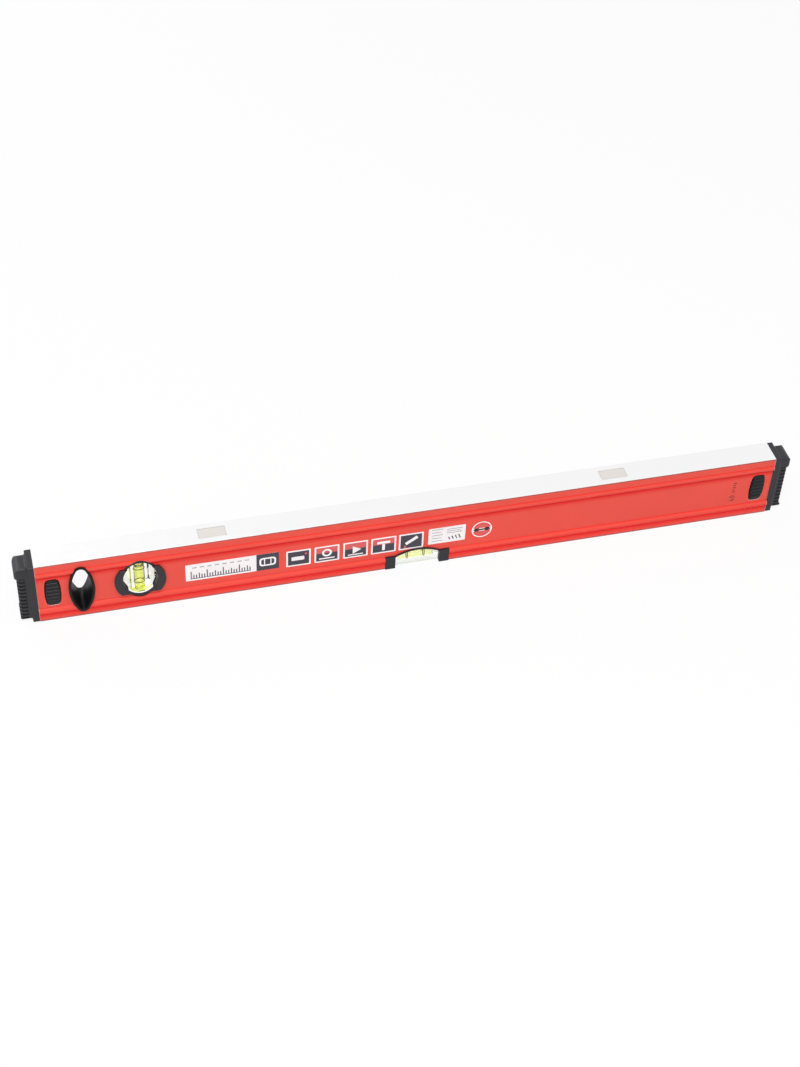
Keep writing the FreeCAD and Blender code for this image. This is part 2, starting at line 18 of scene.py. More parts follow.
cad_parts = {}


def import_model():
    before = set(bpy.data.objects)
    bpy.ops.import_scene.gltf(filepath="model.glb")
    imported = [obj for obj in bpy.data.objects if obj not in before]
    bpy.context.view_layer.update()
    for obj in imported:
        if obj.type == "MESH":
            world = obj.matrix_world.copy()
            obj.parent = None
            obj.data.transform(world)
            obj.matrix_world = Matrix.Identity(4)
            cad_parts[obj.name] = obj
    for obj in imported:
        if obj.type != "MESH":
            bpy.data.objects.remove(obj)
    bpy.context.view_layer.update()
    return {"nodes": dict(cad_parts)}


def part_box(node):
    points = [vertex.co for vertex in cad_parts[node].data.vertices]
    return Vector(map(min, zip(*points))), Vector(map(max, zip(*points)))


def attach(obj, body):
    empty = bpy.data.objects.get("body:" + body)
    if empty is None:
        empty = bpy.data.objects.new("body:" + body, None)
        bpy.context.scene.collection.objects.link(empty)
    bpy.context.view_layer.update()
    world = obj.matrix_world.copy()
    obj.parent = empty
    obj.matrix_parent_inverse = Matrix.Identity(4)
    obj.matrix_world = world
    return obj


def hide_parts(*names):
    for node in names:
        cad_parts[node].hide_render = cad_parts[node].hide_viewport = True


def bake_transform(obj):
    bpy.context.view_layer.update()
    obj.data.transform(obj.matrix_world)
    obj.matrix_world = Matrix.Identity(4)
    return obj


MM = 0.001
WEB_FACE = -9.8  # Y of the front web in millimetres
MERGE = 0.001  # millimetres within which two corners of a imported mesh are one
LOG = logging.getLogger("spirit_level")

Colour = tuple[float, float, float]
Point = tuple[float, float, float]


def linear(red: int, green: int, blue: int) -> Colour:
    """Turn a colour written as 0 to 255 into the shader's linear numbers.

    Args:
        red: Red from 0 to 255.
        green: Green from 0 to 255.
        blue: Blue from 0 to 255.

    Returns:
        The three linear numbers.
    """
    shares = (value / 255 for value in (red, green, blue))
    return tuple(s / 12.92 if s <= 0.04045 else ((s + 0.055) / 1.055) ** 2.4 for s in shares)


# ---------------------------------------------------------------------------------------------
# Shader values and node trees
# ---------------------------------------------------------------------------------------------


class Signal:
    """A number that varies over a surface; arithmetic on it adds Math nodes."""

    def __init__(self, socket: bpy.types.NodeSocket) -> None:
        """Wrap an output socket."""
        self.socket = socket

    def math(self, operation: str, *values: Signal | float) -> Signal:
        """Add one Math node.

        Args:
            operation: Blender's name of the operation.
            values: The node's inputs in order, signals or plain numbers.

        Returns:
            The node's result.
        """
        tree = self.socket.id_data
        node = tree.nodes.new("ShaderNodeMath")
        node.operation = operation
        for slot, value in zip(node.inputs, values):
            if isinstance(value, Signal):
                tree.links.new(value.socket, slot)
            else:
                slot.default_value = value
        return Signal(node.outputs[0])

    def __add__(self, other: Signal | float) -> Signal:
        """Sum."""
        return self.math("ADD", self, other)

    def __radd__(self, other: float) -> Signal:
        """Sum with a plain number first."""
        return self.math("ADD", other, self)

    def __sub__(self, other: Signal | float) -> Signal:
        """Difference."""
        return self.math("SUBTRACT", self, other)

    def __rsub__(self, other: float) -> Signal:
        """Difference from a plain number."""
        return self.math("SUBTRACT", other, self)

    def __mul__(self, other: Signal | float) -> Signal:
        """Product."""
        return self.math("MULTIPLY", self, other)

    def __rmul__(self, other: float) -> Signal:
        """Product with a plain number first."""
        return self.math("MULTIPLY", other, self)

    def __pow__(self, other: float) -> Signal:
        """Power."""
        return self.math("POWER", self, other)

    def __abs__(self) -> Signal:
        """Size without sign."""
        return self.math("ABSOLUTE", self)

    def above(self, limit: float) -> Signal:
        """1 where the value is over a limit, 0 elsewhere."""
        return self.math("GREATER_THAN", self, limit)

    def sine(self) -> Signal:
        """Sine of the value in radians."""
        return self.math("SINE", self)

    def ramp(self, start: float, end: float) -> Signal:
        """Grow evenly from 0 at one value to 1 at another.

        Args:
            start: Value that gives 0.
            end: Value that gives 1, above or below the first.

        Returns:
            The share, held between 0 and 1.
        """
        share = (self - start) * (1 / (end - start))
        return share.math("MINIMUM", share.math("MAXIMUM", share, 0.0), 1.0)


class Graph:
    """Node tree of one finish, or of the world."""

    def __init__(self, name: str, world: bool = False) -> None:
        """Start an empty node tree.

        Args:
            name: Name of the material or the world.
            world: Whether the tree is a world's in place of a material's.
        """
        self.owner = (bpy.data.worlds if world else bpy.data.materials).new(name)
        self.owner.use_nodes = True
        self.tree = self.owner.node_tree
        self.tree.nodes.clear()

    def node(
        self,
        kind: str,
        settings: dict[str, Any] | None = None,
        inputs: dict[str | int, Any] | None = None,
    ) -> bpy.types.Node:
        """Add a node, set its options and then its sockets.

        Args:
            kind: Blender's node type without the ShaderNode prefix.
            settings: Options of the node, set first.
            inputs: Values, signals or sockets by the input's name or number.

        Returns:
            The new node.
        """
        node = self.tree.nodes.new("ShaderNode" + kind)
        for key, value in (settings or {}).items():
            setattr(node, key, value)
        for key, value in (inputs or {}).items():
            slot = node.inputs[key]
            if isinstance(value, Signal):
                self.tree.links.new(value.socket, slot)
            elif isinstance(value, bpy.types.NodeSocket):
                self.tree.links.new(value, slot)
            elif isinstance(value, tuple) and slot.type == "RGBA":
                slot.default_value = (*value, 1.0)
            else:
                slot.default_value = value
        return node

    def place(self) -> tuple[Signal, Signal, Signal]:
        """X, Y and Z of the surface point in millimetres, in the part's own frame."""
        where = self.node("TexCoord").outputs["Object"]
        parts = self.node("SeparateXYZ", inputs={0: where})
        return tuple(Signal(socket) * (1 / MM) for socket in parts.outputs)

    def noise(self, size: float, detail: float = 2.0, stretch: Point = (1.0, 1.0, 1.0)) -> Signal:
        """Cloudy noise between about 0 and 1.

        Args:
            size: Width of one cloud in millimetres.
            detail: How many finer layers lie on it.
            stretch: Factors that shorten the clouds along each axis.

        Returns:
            The noise.
        """
        where = self.node("TexCoord").outputs["Object"]
        mapped = self.node("Mapping", inputs={"Vector": where, "Scale": stretch})
        noise = self.node(
            "TexNoise", inputs={"Vector": mapped.outputs[0], "Scale": 1 / (size * MM), "Detail": detail}
        )
        return Signal(noise.outputs["Fac"])

    def seen(self) -> Signal:
        """1 for rays from the camera, in gloss or through glass, 0 for light that only fills."""
        rays = self.node("LightPath").outputs
        total = Signal(rays["Is Camera Ray"]) + Signal(rays["Is Glossy Ray"])
        total = total + Signal(rays["Is Transmission Ray"])
        return total.ramp(0.0, 1.0)

    def blend(
        self, share: Signal, low: Colour | bpy.types.NodeSocket, high: Colour | bpy.types.NodeSocket
    ) -> bpy.types.NodeSocket:
        """Mix two colours.

        Args:
            share: 0 gives the first colour, 1 the second.
            low: First colour.
            high: Second colour.

        Returns:
            The mixed colour.
        """
        node = self.node("Mix", {"data_type": "RGBA"}, {0: share, 6: low, 7: high})
        return node.outputs[2]

    def relief(self, height: Signal) -> bpy.types.NodeSocket:
        """Surface relief from a height in millimetres."""
        return self.node("Bump", inputs={"Height": height, "Distance": MM}).outputs["Normal"]

    def surface(self, inputs: dict[str, Any]) -> bpy.types.Material:
        """Close the tree with one Principled shader.

        Args:
            inputs: Values or links of the shader's sockets.

        Returns:
            The finished material.
        """
        shader = self.node("BsdfPrincipled", inputs=inputs)
        self.node("OutputMaterial", inputs={"Surface": shader.outputs[0]})
        return self.owner


# ---------------------------------------------------------------------------------------------
# Finishes
# ---------------------------------------------------------------------------------------------


@dataclass(frozen=True)
class CoatedExtrusion:
    """Red powder coat with painted shade at each bead, darker grey-red top and bottom edges, and bare metal
    at every cut, darkened there with painted shade.
    """

    name: str = "frame_coat"
    coat: Colour = (0.87, 0.080, 0.054)
    # Painted shade: darker, deeper red where each bead shades the wall below it and the groove above it.
    painted_shade_coat: Colour = (0.89, 0.003, 0.001)
    # Darker grey-red band along the top and bottom edges.
    edge_coat: Colour = (0.37, 0.080, 0.075)
    metal: Colour = (0.87, 0.87, 0.875)
    # Bare metal of the cut walls and sawn ends, darker and redder than the milled face: painted shade.
    cut_metal_painted_shade: Colour = (0.42, 0.33, 0.33)
    height: float = 55.5
    sawn_end: float = 285.5
    end_line: float = 0.35
    milled_edge: float = 0.06
    top_edge: float = 0.72
    foot_edge: float = 1.5
    coated_depth: float = 9.78
    bead_middle: float = 9.6
    bead_foot: float = 2.7
    groove_half: float = 0.5
    groove_shade: float = 0.5
    shade_length: float = 5.0
    shade_start: float = 0.3
    shade_full: float = 1.2
    groove_reach: float = 0.9
    roughness: float = 0.36
    peel_size: float = 0.9
    peel_depth: float = 0.010
    cloud_size: float = 38.0
    swirl_size: float = 6.0
    trace_depth: float = 0.0012
    gloss: float = 0.3
    cutter_radius: float = 32.0
    cutter_pitch: float = 0.9

    def shade(self, z: Signal, middle: float) -> Signal:
        """Share of painted shade on a bead's underside, on the wall below it and in the groove over it.

        Args:
            z: Height in millimetres.
            middle: Height of the bead's middle.

        Returns:
            The share, 1 at the bead's foot.
        """
        foot = middle - self.bead_foot
        underside = z.ramp(middle + self.shade_start, middle - self.shade_full)
        below = underside * z.ramp(foot - self.shade_length, foot - self.shade_start)
        above = abs(z - (middle + self.bead_foot)).ramp(self.groove_reach, self.shade_start)
        return below + self.groove_shade * above

    def groove(self, z: Signal, middle: float) -> Signal:
        """1 in the small groove at the height given, 0 elsewhere."""
        return 1 - abs(z - middle).above(self.groove_half)

    def make(self) -> bpy.types.Material:
        """Build the material."""
        graph = Graph(self.name)
        x, y, z = graph.place()
        upper = self.height - self.bead_middle
        milled = z.above(self.height - self.milled_edge)
        grooves = self.groove(z, self.bead_middle + self.bead_foot) + self.groove(z, upper - self.bead_foot)
        outside = abs(y).above(self.coated_depth)
        end = outside * (1 - milled) * abs(x).above(self.sawn_end - self.end_line)
        cut = (1 - outside) * (1 - grooves) * z.above(self.milled_edge) * (1 - milled) + end
        bare = milled + cut
        rims = z.above(self.height - self.top_edge) + (1 - z.above(self.foot_edge))
        edge = outside * (1 - end) * rims
        peel = graph.noise(self.peel_size, 3.0)
        cloud = graph.noise(self.cloud_size, 2.0)
        arc = x - (self.cutter_radius**2 - y * y) ** 0.5
        trace = (arc * (2 * math.pi / self.cutter_pitch)).sine()
        swirl = graph.noise(self.swirl_size, 2.0, (1.0, 0.25, 1.0))
        thin = tuple(min(1.0, c * 1.05) for c in self.coat)
        red = graph.blend(cloud, tuple(c * 0.95 for c in self.coat), thin)
        # Painted shade below each bead and in the groove above it.
        red = graph.blend(self.shade(z, self.bead_middle) + self.shade(z, upper), red, self.painted_shade_coat)
        red = graph.blend(edge, red, self.edge_coat)
        colour = graph.blend(cut, graph.blend(milled, red, self.metal), self.cut_metal_painted_shade)
        coated = (self.roughness + 0.05 * peel) * (1 - bare)
        rough = coated + (self.roughness + 0.07 * swirl + 0.02 * trace) * bare
        height = self.peel_depth * peel * (1 - bare) + self.trace_depth * trace * milled
        return graph.surface(
            {
                "Base Color": colour,
                "Metallic": bare,
                "Roughness": rough,
                "Specular IOR Level": self.gloss,
                "Normal": graph.relief(height),
            }
        )


@dataclass(frozen=True)
class Moulding:
    """Fine-grained moulded plastic."""

    name: str
    colour: Colour
    roughness: float = 0.5
    grain_size: float = 0.35
    grain_depth: float = 0.02
    clouding: float = 0.12
    gloss: float = 0.35
    # Emission with no lamp behind it: painted light that brightens a part where shade falls.
    glow: float = 0.0

    def make(self) -> bpy.types.Material:
        """Build the material."""
        graph = Graph(self.name)
        grain = graph.noise(self.grain_size, 2.0)
        cloud = graph.noise(9.0, 2.0)
        dark = tuple(c * (1 - self.clouding) for c in self.colour)
        light = tuple(min(1.0, c * (1 + self.clouding)) for c in self.colour)
        return graph.surface(
            {
                "Base Color": graph.blend(cloud, dark, light),
                "Roughness": self.roughness - 0.06 + 0.12 * grain,
                "Specular IOR Level": self.gloss,
                "Emission Color": self.colour,
                "Emission Strength": self.glow,
                "Normal": graph.relief(self.grain_depth * grain),
            }
        )


@dataclass(frozen=True)
class PlainMetal:
    """Bare or plated metal with a faint brushed grain along X."""

    name: str
    colour: Colour
    roughness: float = 0.32
    grain_depth: float = 0.002

    def make(self) -> bpy.types.Material:
        """Build the material."""
        graph = Graph(self.name)
        brushed = graph.noise(0.4, 3.0, (0.06, 1.0, 1.0))
        stain = graph.noise(7.0, 2.0)
        return graph.surface(
            {
                "Base Color": graph.blend(stain, tuple(c * 0.94 for c in self.colour), self.colour),
                "Metallic": 1.0,
                "Roughness": self.roughness - 0.05 + 0.1 * brushed,
                "Normal": graph.relief(self.grain_depth * brushed),
            }
        )


@dataclass(frozen=True)
class ClearSolid:
    """Clear plastic or liquid that bends light; its foot can be frosted and given a faint painted glow that
    lightens its shade.
    """

    name: str
    colour: Colour
    bend: float
    frost: float = 0.0
    # Painted light: emission that brightens the foot where it lies in shade.
    painted_foot_glow: float = 0.0
    foot_height: float = 1.3
    speck: float = 0.01

    def make(self) -> bpy.types.Material:
        """Build the material."""
        graph = Graph(self.name)
        haze = graph.noise(3.0, 2.0)
        foot = 1 - graph.place()[2].above(self.foot_height)
        pale = tuple(c * (1 - 3 * self.speck) for c in self.colour)
        return graph.surface(
            {
                "Base Color": graph.blend(haze, pale, self.colour),
                "Roughness": self.frost * foot,
                "IOR": self.bend,
                "Transmission Weight": 1.0,
                "Emission Color": graph.blend(foot, (0.0, 0.0, 0.0), self.colour),
                "Emission Strength": self.painted_foot_glow,
            }
        )


@dataclass(frozen=True)
class AirPocket:
    """Air inside the vial's liquid."""

    name: str = "air_pocket"
    bend: float = 1 / 1.36
    ripple: float = 0.004

    def make(self) -> bpy.types.Material:
        """Build the material."""
        graph = Graph(self.name)
        ripple = graph.relief(self.ripple * graph.noise(3.0, 1.0))
        shader = graph.node(
            "BsdfGlass",
            inputs={"Color": (1.0, 1.0, 0.97), "Roughness": 0.0, "IOR": self.bend, "Normal": ripple},
        )
        graph.node("OutputMaterial", inputs={"Surface": shader.outputs[0]})
        return graph.owner


@dataclass(frozen=True)
class PrintedFilm:
    """Ink on a thin film, with a faint mottle and a soft gloss."""

    name: str
    colour: Colour
    roughness: float = 0.38

    def make(self) -> bpy.types.Material:
        """Build the material."""
        graph = Graph(self.name)
        mottle = graph.noise(1.6, 2.0)
        return graph.surface(
            {
                "Base Color": graph.blend(mottle, tuple(c * 0.97 for c in self.colour), self.colour),
                "Roughness": self.roughness - 0.03 + 0.06 * mottle,
                "Normal": graph.relief(0.004 * mottle),
            }
        )


class Ink(Enum):
    """Colours of the printed film."""

    WHITE = "film_white"
    NAVY = "film_navy"
    RED = "film_red"
    GREY = "film_grey"
    BLACK = "film_black"


FILMS = {
    Ink.WHITE: PrintedFilm(Ink.WHITE.value, (1.0, 0.985, 0.995)),
    Ink.NAVY: PrintedFilm(Ink.NAVY.value, linear(52, 50, 66)),
    Ink.RED: PrintedFilm(Ink.RED.value, linear(226, 92, 92)),
    Ink.GREY: PrintedFilm(Ink.GREY.value, linear(176, 174, 182)),
    Ink.BLACK: PrintedFilm(Ink.BLACK.value, linear(70, 22, 20)),
}


@dataclass(frozen=True)
class Wardrobe:
    """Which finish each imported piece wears."""

    coat: CoatedExtrusion = CoatedExtrusion()
    cap: Moulding = Moulding("cap_moulding", (0.021, 0.020, 0.025), 0.50, 0.30, 0.03)
    latch: Moulding = Moulding("latch_moulding", (0.006, 0.006, 0.008), 0.40, 0.25, 0.012, 0.12, 0.28)
    sleeve: Moulding = Moulding("sleeve_moulding", (0.004, 0.004, 0.005), 0.50, 0.30, 0.012, 0.12, 0.22)
    bezel: Moulding = Moulding("bezel_moulding", (0.022, 0.019, 0.024), 0.46, 0.30, 0.02)
    housing: Moulding = Moulding("housing_moulding", (0.016, 0.016, 0.021), 0.46, 0.30, 0.02)
    # The reflector's glow is painted light that brightens it where the bezel's rim shades it.
    reflector: Moulding = Moulding(
        "reflector_white", (0.97, 0.97, 0.965), 0.5, 0.4, 0.004, clouding=0.02, glow=0.35
    )
    ring: Moulding = Moulding("ring_mark", (0.02, 0.022, 0.012), 0.6, 0.3, 0.002)
    spring: PlainMetal = PlainMetal("spring_steel", (0.42, 0.42, 0.43))
    magnet: PlainMetal = PlainMetal("magnet_nickel", linear(226, 221, 216), 0.42, 0.003)
    acrylic: ClearSolid = ClearSolid("clear_acrylic", (0.97, 0.985, 0.975), 1.49)
    # The frosted foot's glow is painted light that brightens its shade.
    frosted: ClearSolid = ClearSolid(
        "frosted_foot_acrylic", (0.98, 0.99, 0.985), 1.49, frost=0.65, painted_foot_glow=0.4
    )
    plumb_liquid: ClearSolid = ClearSolid("plumb_fluid", (0.97, 0.99, 0.20), 1.40)
    level_liquid: ClearSolid = ClearSolid("level_fluid", (0.97, 1.0, 0.46), 1.40)
    air: AirPocket = AirPocket()

    def finish_of(self, node: str) -> Any:
        """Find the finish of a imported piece.

        Args:
            node: Name of the piece.

        Returns:
            The finish that its name calls for.
        """
        rules = (
            ("frame", self.coat),
            ("end_cap", self.cap),
            ("latch_button", self.latch),
            ("latch_spring", self.spring),
            ("hang_sleeve", self.sleeve),
            ("plumb_bezel", self.bezel),
            ("plumb_reflector", self.reflector),
            ("plumb_ring", self.ring),
            ("level_ring", self.ring),
            ("level_vial_housing", self.housing),
            ("magnet", self.magnet),
            ("plumb_bubble", self.air),
            ("level_bubble", self.air),
            ("plumb_vial_liquid", self.plumb_liquid),
            ("level_vial_liquid", self.level_liquid),
            ("plumb_vial", self.acrylic),
            ("level_vial_block", self.frosted),
            ("level_vial", self.acrylic),
        )
        return next(finish for start, finish in rules if node.startswith(start))

    def dress(self, nodes: dict[str, bpy.types.Object]) -> None:
        """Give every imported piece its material.

        Args:
            nodes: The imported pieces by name.
        """
        made: dict[str, bpy.types.Material] = {}
        for name, piece in sorted(nodes.items()):
            finish = self.finish_of(name)
            if finish.name not in made:
                made[finish.name] = finish.make()
            piece.data.materials.clear()
            piece.data.materials.append(made[finish.name])
            LOG.info("%s wears %s", name, finish.name)


# ---------------------------------------------------------------------------------------------
# Modelling
# ---------------------------------------------------------------------------------------------


def set_down(piece: bpy.types.Object) -> bpy.types.Object:
    """Put a piece's place into its mesh, so that its object sits at the origin.

    Args:
        piece: The piece, alone selected and active.

    Returns:
        The same piece.
    """
    bpy.ops.object.transform_apply(location=True, rotation=True, scale=True)
    return piece


def deselect() -> None:
    """Leave nothing selected, so that the next operator acts on its own mesh only."""
    bpy.ops.object.select_all(action="DESELECT")


def join(pieces: list[bpy.types.Object], name: str) -> bpy.types.Object:
    """Join pieces into one.

    Args:
        pieces: The pieces; the first one takes in the others.
        name: Name of the joined piece.

    Returns:
        The joined piece.
    """
    deselect()
    for piece in pieces:
        piece.select_set(True)
    joined = pieces[0]
    bpy.context.view_layer.objects.active = joined
    if len(pieces) > 1:
        bpy.ops.object.join()
    joined.name = name
    joined.data.name = name
    return joined


def thicken(piece: bpy.types.Object, thickness: float) -> bpy.types.Object:
    """Give a flat outline facing -Y a thickness towards -Y.

    Args:
        piece: The flat piece, active.
        thickness: Thickness in millimetres.

    Returns:
        The same piece, closed.
    """
    bpy.ops.object.mode_set(mode="EDIT")
    bpy.ops.mesh.select_all(action="SELECT")
    bpy.ops.mesh.extrude_region_move(TRANSFORM_OT_translate={"value": (0.0, -thickness * MM, 0.0)})
    bpy.ops.mesh.select_all(action="SELECT")
    bpy.ops.mesh.normals_make_consistent(inside=False)
    bpy.ops.object.mode_set(mode="OBJECT")
    return piece


@dataclass(frozen=True)
class Field:
    """One flat field of print, by its edges in millimetres on the front web."""

    left: float
    right: float
    low: float
    high: float
    ink: Ink
    corner: float = 0.2
    slant: float = 0.0

    def build(self, depth: float, thickness: float) -> bpy.types.Object:
        """Model the field as a thin plate.

        Args:
            depth: Y of its back in millimetres.
            thickness: Thickness in millimetres.

        Returns:
            The plate.
        """
        deselect()
        centre = ((self.left + self.right) / 2 * MM, depth * MM, (self.low + self.high) / 2 * MM)
        bpy.ops.mesh.primitive_plane_add(size=1, location=centre, rotation=(math.pi / 2, -self.slant, 0))
        piece = bpy.context.object
        piece.scale = ((self.right - self.left) * MM, (self.high - self.low) * MM, 1)
        set_down(piece)
        bpy.ops.object.mode_set(mode="EDIT")
        bpy.ops.mesh.select_all(action="SELECT")
        bpy.ops.mesh.bevel(offset=self.corner * MM, segments=4, affect="VERTICES")
        bpy.ops.object.mode_set(mode="OBJECT")
        return thicken(piece, thickness)


@dataclass(frozen=True)
class Disc:
    """One round or many-sided field of print, solid or a ring."""

    x: float
    z: float
    radius: float
    ink: Ink
    hole: float = 0.0
    sides: int = 48
    turn: float = 0.0

    def build(self, depth: float, thickness: float) -> bpy.types.Object:
        """Model the field as a thin plate.

        Args:
            depth: Y of its back in millimetres.
            thickness: Thickness in millimetres.

        Returns:
            The plate.
        """
        deselect()
        bpy.ops.mesh.primitive_circle_add(
            vertices=self.sides,
            radius=self.radius * MM,
            fill_type="NGON",
            location=(self.x * MM, depth * MM, self.z * MM),
            rotation=(math.pi / 2, self.turn, 0),
        )
        piece = set_down(bpy.context.object)
        if self.hole:
            bpy.ops.object.mode_set(mode="EDIT")
            bpy.ops.mesh.select_all(action="SELECT")
            bpy.ops.mesh.inset(thickness=(self.radius - self.hole) * MM)
            bpy.ops.mesh.delete(type="FACE")
            bpy.ops.object.mode_set(mode="OBJECT")
        return thicken(piece, thickness)


@dataclass(frozen=True)
class Label:
    """A label on the front web: a base film and layers of ink on it."""

    name: str
    layers: list[list[Field | Disc]]
    web: float = WEB_FACE
    film: float = 0.06
    ink_step: float = 0.02

    def build(self) -> bpy.types.Object:
        """Model all fields and join them into one piece.

        Returns:
            The label.
        """
        made = []
        depth = self.web
        for number, layer in enumerate(self.layers):
            thickness = self.film if number == 0 else self.ink_step
            for shape in layer:
                piece = shape.build(depth, thickness)
                piece.data.materials.append(bpy.data.materials[shape.ink.value])
                made.append(piece)
            depth -= thickness
        return join(made, self.name)


@dataclass(frozen=True)
class FrontPrint:
    """All print on the front web: title label, five picture tiles, data label, seal and size mark."""

    label_low: float = 18.5
    label_high: float = 35.0
    tile_low: float = 17.7
    tile_high: float = 33.7
    tile_edges: tuple[tuple[float, float], ...] = (
        (-101.5, -82.8),
        (-80.0, -61.0),
        (-58.0, -39.0),
        (-36.5, -17.2),
        (-15.0, 4.2),
    )

    def title_label(self) -> Label:
        """White strip with a graduated scale, and a dark end block with a vial sign."""
        low, high = self.label_low, self.label_high
        base = [Field(-177.0, -107.0, low, high, Ink.WHITE, 0.4)]
        block = [Field(-124.0, -107.0, low, high, Ink.NAVY, 0.4)]
        scale = [Field(-173.5, -128.3, low + 1.6, low + 2.3, Ink.NAVY, 0.1)]
        for index in range(23):
            tall = (7.2, 3.4, 3.4, 5.0, 3.4, 3.4)[index % 6]
            left = -173.3 + 2.0 * index
            scale.append(Field(left, left + 0.8, low + 2.3, low + 2.3 + tall, Ink.NAVY, 0.05))
        for index in range(8):
            left = -172.0 + 5.6 * index
            scale.append(Field(left, -168.6 + 5.6 * index, high - 4.1, high - 3.1, Ink.GREY, 0.1))
        sign = [
            Field(-121.8, -109.2, 22.6, 31.0, Ink.WHITE, 2.4),
            Field(-120.4, -110.6, 24.0, 29.6, Ink.NAVY, 1.8),
            Field(-118.3, -117.5, 24.0, 29.6, Ink.WHITE, 0.05),
            Field(-113.5, -112.7, 24.0, 29.6, Ink.WHITE, 0.05),
        ]
        return Label("label_title", [base, block + scale, sign[:1], sign[1:2], sign[2:]])

    def tile(self, number: int) -> Label:
        """One picture tile with a white border and a plain sign.

        Args:
            number: Place of the tile from the left, from 0.

        Returns:
            The tile.
        """
        left, right = self.tile_edges[number]
        low, high = self.tile_low, self.tile_high
        middle, border = (left + right) / 2, 1.3
        base = [Field(left, right, low, high, Ink.WHITE, 0.6)]
        dark = [Field(left + border, right - border, low + border, high - border, Ink.NAVY, 0.2)]
        split = low + 0.56 * (high - low)
        glow = [Field(left + border, right - border, split, high - border, Ink.RED, 0.1)]
        signs = (
            [
                Field(middle - 5.4, middle + 4.4, 23.4, 27.2, Ink.WHITE, 0.8),
                Disc(middle + 5.6, 29.4, 0.9, Ink.RED),
            ],
            [
                Disc(middle, 26.8, 3.8, Ink.WHITE, 2.2),
                Field(middle - 6.0, middle + 6.0, 20.6, 21.8, Ink.WHITE),
            ],
            [
                Disc(middle, 25.4, 4.4, Ink.WHITE, sides=3, turn=math.pi / 2),
                Field(middle - 5.8, middle + 5.8, 20.2, 21.2, Ink.WHITE),
            ],
            [
                Field(middle - 1.1, middle + 1.1, 20.6, 27.0, Ink.WHITE),
                Field(middle - 5.0, middle + 5.0, 27.4, 29.8, Ink.WHITE),
            ],
            [
                Field(middle - 5.2, middle + 5.8, 25.0, 27.8, Ink.WHITE, 0.6, 0.6),
                Disc(middle - 4.6, 20.6, 1.0, Ink.RED),
            ],
        )
        layers = [base, dark, signs[number]]
        if number in (1, 2, 3):
            layers = [base, dark, glow, signs[number]]
        return Label(f"label_tile_{number + 1}", layers)

    def data_label(self) -> Label:
        """White label with plain grey lines and a fan of short dark bars."""
        base = [Field(8.0, 37.0, 19.0, 35.0, Ink.WHITE, 0.8)]
        marks = []
        for i in range(5):
            right = 19.4 - 1.1 * (i % 2)
            marks.append(Field(10.6, right, 21.4 + 2.9 * i, 22.1 + 2.9 * i, Ink.GREY, 0.1))
        for i in range(3):
            right = 34.6 - 1.6 * (i % 2)
            marks.append(Field(22.4, right, 28.2 + 1.9 * i, 28.9 + 1.9 * i, Ink.GREY, 0.1))
        for i in range(4):
            left = 24.0 + 2.7 * i
            marks.append(Field(left, 24.9 + 2.7 * i, 21.6, 24.4 + 0.5 * i, Ink.NAVY, 0.1, 0.35))
        return Label("label_data", [base, marks])

    def seal(self) -> Label:
        """Round seal: a white rim, a pale red disc and a level bar across it."""
        x, z = 50.0, 27.0
        rim = [Disc(x, z, 8.0, Ink.WHITE, 7.1)]
        disc = [Disc(x, z, 5.9, Ink.RED, 2.6), Field(x - 7.2, x + 7.2, z - 1.5, z + 1.5, Ink.WHITE, 0.2)]
        bar = [Field(x - 6.4, x + 6.4, z - 0.8, z + 0.8, Ink.BLACK, 0.1)]
        return Label("label_seal", [rim + disc, bar])

    def size_mark(self) -> bpy.types.Object:
        """The plain length number near the right end, reading upwards.

        Returns:
            The number with a row of short ticks above it.
        """
        deselect()
        bpy.ops.object.text_add(
            location=(256.5 * MM, WEB_FACE * MM, 16.8 * MM), rotation=(math.pi / 2, -math.pi / 2, 0)
        )
        text = bpy.context.object
        text.data.body = "60"
        text.data.size = 5.8 * MM
        text.data.extrude = 0.02 * MM
        text.data.space_character = 1.15
        bpy.ops.object.convert(target="MESH")
        set_down(text)
        made = [text]
        for index in range(5):
            low = 26.4 + 2.2 * index
            tick = Field(253.6, 256.3 - 0.9 * (index % 2), low, low + 0.8, Ink.BLACK, 0.05)
            made.append(tick.build(WEB_FACE, 0.03))
        for piece in made:
            piece.data.materials.append(bpy.data.materials[Ink.BLACK.value])
        return join(made, "size_mark")

    def build(self) -> None:
        """Make every printed piece and let it ride on the level."""
        for film in FILMS.values():
            film.make()
        tiles = [self.tile(number) for number in range(len(self.tile_edges))]
        labels = [self.title_label(), *tiles, self.data_label(), self.seal()]
        for piece in [label.build() for label in labels] + [self.size_mark()]:
            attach(piece, "level")
            LOG.info("printed %s", piece.name)


class Axis(Enum):
    """Way that a vial lies."""

    ALONG = (0.0, math.pi / 2, 0.0)
    UPRIGHT = (0.0, 0.0, 0.0)


